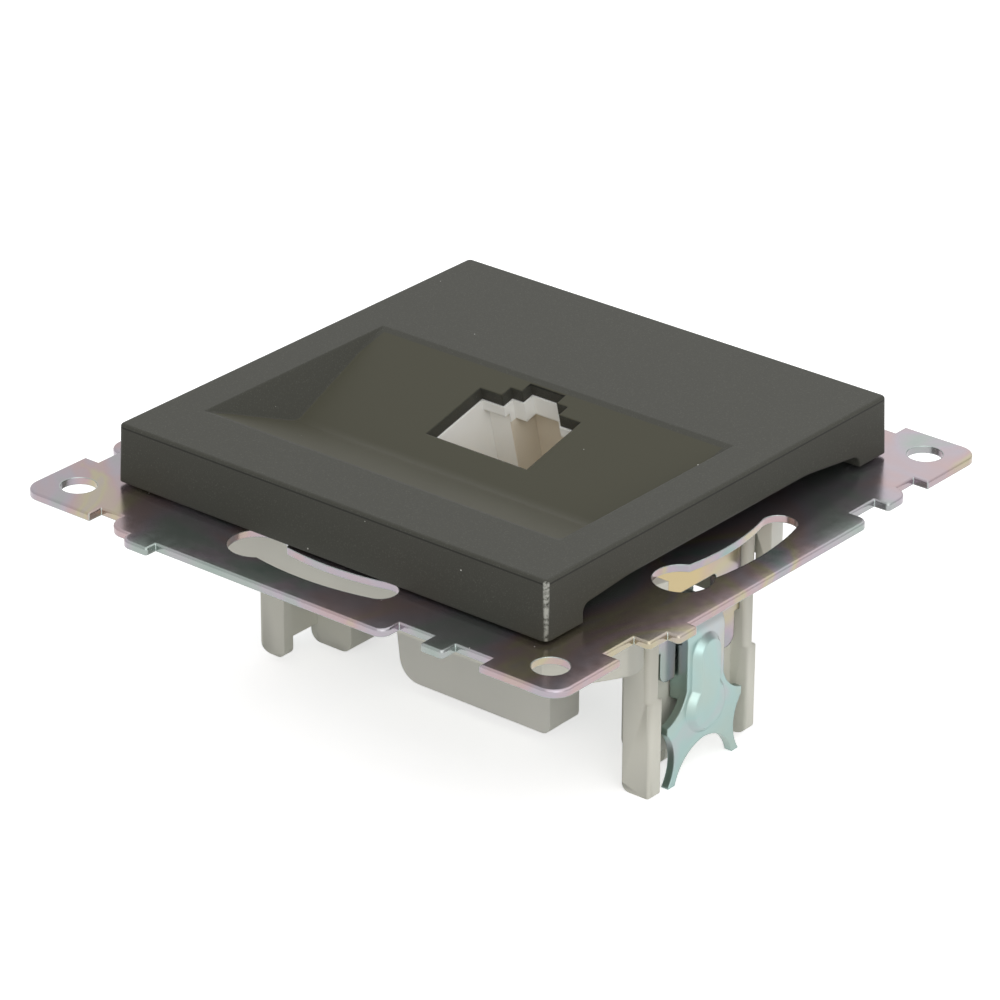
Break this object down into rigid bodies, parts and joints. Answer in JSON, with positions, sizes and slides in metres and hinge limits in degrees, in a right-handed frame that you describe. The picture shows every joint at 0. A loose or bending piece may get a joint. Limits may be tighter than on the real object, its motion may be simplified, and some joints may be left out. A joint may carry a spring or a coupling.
{
  "type": "ethernet socket insert",
  "caption": "Flush ethernet socket insert: anthracite cover with a sloping recess and stepped jack mouth, on a zinc support ring with spreading claws.",
  "frame": {"origin": "centre of the four corner holes, on the front face of the support ring", "axes": "+Z out of the wall towards the user, +Y up the wall (the side of the mouth's latch step), +X to the right"},
  "size_m": [0.0726, 0.0738, 0.0328],
  "materials": {
    "cover_plastic": "anthracite lacquered",
    "ring_steel": "yellow passivated zinc",
    "carrier_plastic": "ivory moulded",
    "rivet_steel": "zinc plated",
    "jack_plastic": "light grey moulded",
    "contact_gold": "gold flashed",
    "board_laminate": "solder mask",
    "strip_plastic": "ivory moulded",
    "terminal_tin": "tin plated",
    "cap_plastic": "grey moulded",
    "claw_steel": "blue passivated zinc",
    "screw_steel": "zinc plated"
  },
  "bodies": {
    "frame": {"support_ring": "ring_steel", "carrier": "carrier_plastic", "cover_plate": "cover_plastic", "rivets": "rivet_steel", "jack_housing": "jack_plastic", "jack_contact_1": "contact_gold", "jack_contact_2": "contact_gold", "jack_contact_3": "contact_gold", "jack_contact_4": "contact_gold", "jack_contact_5": "contact_gold", "jack_contact_6": "contact_gold", "jack_contact_7": "contact_gold", "jack_contact_8": "contact_gold", "circuit_board": "board_laminate", "terminal_strip_1": "strip_plastic", "terminal_strip_2": "strip_plastic", "terminal_contact_1": "terminal_tin", "terminal_contact_2": "terminal_tin", "terminal_contact_3": "terminal_tin", "terminal_contact_4": "terminal_tin", "terminal_contact_5": "terminal_tin", "terminal_contact_6": "terminal_tin", "terminal_contact_7": "terminal_tin", "terminal_contact_8": "terminal_tin", "wire_cap": "cap_plastic"},
    "claw_right_body": {"claw_right": "claw_steel"},
    "claw_left_body": {"claw_left": "claw_steel"},
    "screw_right_body": {"claw_screw_right": "screw_steel"},
    "screw_left_body": {"claw_screw_left": "screw_steel"}
  },
  "joints": [
    {"name": "claw_right_swing", "type": "hinge", "parent": "frame", "child": "claw_right_body", "pos_m": [0.0171, 0.0006, -0.0082], "axis": [0, -1, 0], "range_deg": [0, 16]},
    {"name": "claw_left_swing", "type": "hinge", "parent": "frame", "child": "claw_left_body", "pos_m": [-0.0171, -0.0006, -0.0082], "axis": [0, 1, 0], "range_deg": [0, 16]},
    {"name": "claw_screw_right_turn", "type": "hinge", "parent": "frame", "child": "screw_right_body", "pos_m": [0.0203, 0.0006, -0.0008], "axis": [0, 0, -1], "range_deg": [0, 640]},
    {"name": "claw_screw_left_turn", "type": "hinge", "parent": "frame", "child": "screw_left_body", "pos_m": [-0.0203, -0.0006, -0.0008], "axis": [0, 0, -1], "range_deg": [0, 640]}
  ],
  "couplings": [
    {"joint": "claw_screw_right_turn", "follows": "claw_right_swing", "ratio": 40},
    {"joint": "claw_screw_left_turn", "follows": "claw_left_swing", "ratio": 40}
  ]
}
